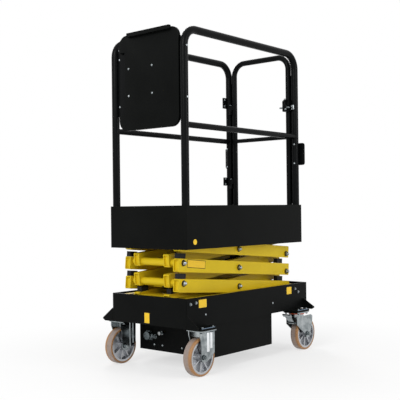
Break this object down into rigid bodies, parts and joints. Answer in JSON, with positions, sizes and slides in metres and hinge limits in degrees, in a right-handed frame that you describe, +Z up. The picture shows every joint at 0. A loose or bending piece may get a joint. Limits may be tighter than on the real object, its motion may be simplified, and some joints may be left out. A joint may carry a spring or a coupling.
{
  "type": "push-around scissor lift",
  "caption": "Push-around scissor work platform with a black guardrail cage and gate, yellow folded scissor arms, a black chassis and tan-treaded castors.",
  "frame": {"origin": "on the floor, at the middle of the machine's outline", "axes": "+X towards the gate end, +Y towards the far long side with the gate's hinges, +Z up"},
  "size_m": [1.184, 0.71, 1.833],
  "materials": {
    "chassis_black": "satin textured",
    "lift_yellow": "satin",
    "rail_black": "gloss",
    "zinc": "bright",
    "hub_alu": "satin",
    "tyre_pu": "matte",
    "seal_red": "satin",
    "pad_rubber": "matte",
    "roller_nylon": "satin",
    "battery_grey": "matte",
    "box_grey": "satin",
    "cylinder_black": "satin",
    "chrome": "polished",
    "button_red": "gloss"
  },
  "bodies": {
    "chassis": {"chassis_tub": "chassis_black", "power_box": "chassis_black", "battery_block": "battery_grey", "base_frame": "lift_yellow", "fixed_brackets": "zinc", "swivel_plates": "zinc", "box_fittings": "zinc"},
    "outer_1": {"outer_arms_1": "lift_yellow", "stop_pads_1": "pad_rubber"},
    "inner_1": {"inner_arms_1": "lift_yellow", "lower_rollers": "roller_nylon", "inner_pads": "pad_rubber"},
    "outer_2": {"outer_arms_2": "lift_yellow", "stop_pads_2": "pad_rubber"},
    "inner_2": {"inner_arms_2": "lift_yellow"},
    "outer_3": {"outer_arms_3": "lift_yellow", "upper_rollers": "roller_nylon"},
    "inner_3": {"inner_arms_3": "lift_yellow"},
    "platform": {"platform_box": "chassis_black", "upper_channels": "lift_yellow", "guard_rails": "rail_black", "control_plate": "chassis_black", "control_box": "box_grey", "gate_hinges": "rail_black", "post_plates": "rail_black", "joystick": "pad_rubber", "stop_button": "button_red"},
    "gate": {"gate": "rail_black"},
    "cylinder_barrel": {"cylinder_barrel": "cylinder_black"},
    "cylinder_rod": {"cylinder_rod": "chrome"},
    "fixed_wheel_near": {"fixed_tyre_near": "tyre_pu", "fixed_hub_near": "hub_alu"},
    "swivel_near": {"swivel_fork_near": "zinc", "seal_ring_near": "seal_red", "brake_pedal_near": "zinc"},
    "swivel_wheel_near": {"swivel_tyre_near": "tyre_pu", "swivel_hub_near": "hub_alu"},
    "fixed_wheel_far": {"fixed_tyre_far": "tyre_pu", "fixed_hub_far": "hub_alu"},
    "swivel_far": {"swivel_fork_far": "zinc", "seal_ring_far": "seal_red", "brake_pedal_far": "zinc"},
    "swivel_wheel_far": {"swivel_tyre_far": "tyre_pu", "swivel_hub_far": "hub_alu"}
  },
  "joints": [
    {"name": "lift", "type": "hinge", "parent": "chassis", "child": "outer_1", "pos_m": [0.45, 0, 0.37], "axis": [0, 1, 0], "range_deg": [0, 60]},
    {"name": "inner_1_turn", "type": "hinge", "parent": "outer_1", "child": "inner_1", "pos_m": [-0.028, 0, 0.42375], "axis": [0, 1, 0], "range_deg": [-121, 0]},
    {"name": "outer_2_turn", "type": "hinge", "parent": "inner_1", "child": "outer_2", "pos_m": [0.45, 0, 0.4775], "axis": [0, 1, 0], "range_deg": [0, 121]},
    {"name": "inner_2_turn", "type": "hinge", "parent": "outer_2", "child": "inner_2", "pos_m": [-0.028, 0, 0.53125], "axis": [0, 1, 0], "range_deg": [-121, 0]},
    {"name": "outer_3_turn", "type": "hinge", "parent": "inner_2", "child": "outer_3", "pos_m": [0.45, 0, 0.585], "axis": [0, 1, 0], "range_deg": [0, 121]},
    {"name": "inner_3_turn", "type": "hinge", "parent": "outer_3", "child": "inner_3", "pos_m": [-0.028, 0, 0.63875], "axis": [0, 1, 0], "range_deg": [-121, 0]},
    {"name": "platform_level", "type": "hinge", "parent": "inner_3", "child": "platform", "pos_m": [0.45, 0, 0.6925], "axis": [0, 1, 0], "range_deg": [0, 61]},
    {"name": "cylinder_turn", "type": "hinge", "parent": "outer_1", "child": "cylinder_barrel", "pos_m": [-0.39876, 0, 0.44682], "axis": [0, 1, 0], "range_deg": [-121.89, 0]},
    {"name": "cylinder_stroke", "type": "slide", "parent": "cylinder_barrel", "child": "cylinder_rod", "axis": [0.9862, 0, 0.1658], "range_m": [0, 0.1947]},
    {"name": "gate_swing", "type": "hinge", "parent": "platform", "child": "gate", "pos_m": [0.4648, 0.2318, 1.3], "axis": [0, 0, -1], "range_deg": [0, 90]},
    {"name": "fixed_wheel_near_roll", "type": "hinge", "parent": "chassis", "child": "fixed_wheel_near", "pos_m": [-0.492, -0.292, 0.1], "axis": [0, 1, 0], "continuous": true},
    {"name": "swivel_near_turn", "type": "hinge", "parent": "chassis", "child": "swivel_near", "pos_m": [0.424, -0.292, 0.24], "axis": [0, 0, 1], "continuous": true},
    {"name": "swivel_wheel_near_roll", "type": "hinge", "parent": "swivel_near", "child": "swivel_wheel_near", "pos_m": [0.492, -0.292, 0.1], "axis": [0, 1, 0], "continuous": true},
    {"name": "fixed_wheel_far_roll", "type": "hinge", "parent": "chassis", "child": "fixed_wheel_far", "pos_m": [-0.492, 0.292, 0.1], "axis": [0, 1, 0], "continuous": true},
    {"name": "swivel_far_turn", "type": "hinge", "parent": "chassis", "child": "swivel_far", "pos_m": [0.424, 0.292, 0.24], "axis": [0, 0, 1], "continuous": true},
    {"name": "swivel_wheel_far_roll", "type": "hinge", "parent": "swivel_far", "child": "swivel_wheel_far", "pos_m": [0.492, 0.292, 0.1], "axis": [0, 1, 0], "continuous": true}
  ],
  "couplings": [
    {"joint": "inner_1_turn", "follows": "lift", "ratio": -2},
    {"joint": "outer_2_turn", "follows": "lift", "ratio": 2},
    {"joint": "inner_2_turn", "follows": "lift", "ratio": -2},
    {"joint": "outer_3_turn", "follows": "lift", "ratio": 2},
    {"joint": "inner_3_turn", "follows": "lift", "ratio": -2},
    {"joint": "platform_level", "follows": "lift", "ratio": 1},
    {"joint": "cylinder_turn", "follows": "lift", "ratio": -2.0149},
    {"joint": "cylinder_stroke", "follows": "lift", "m_per_rad": 0.18404}
  ]
}
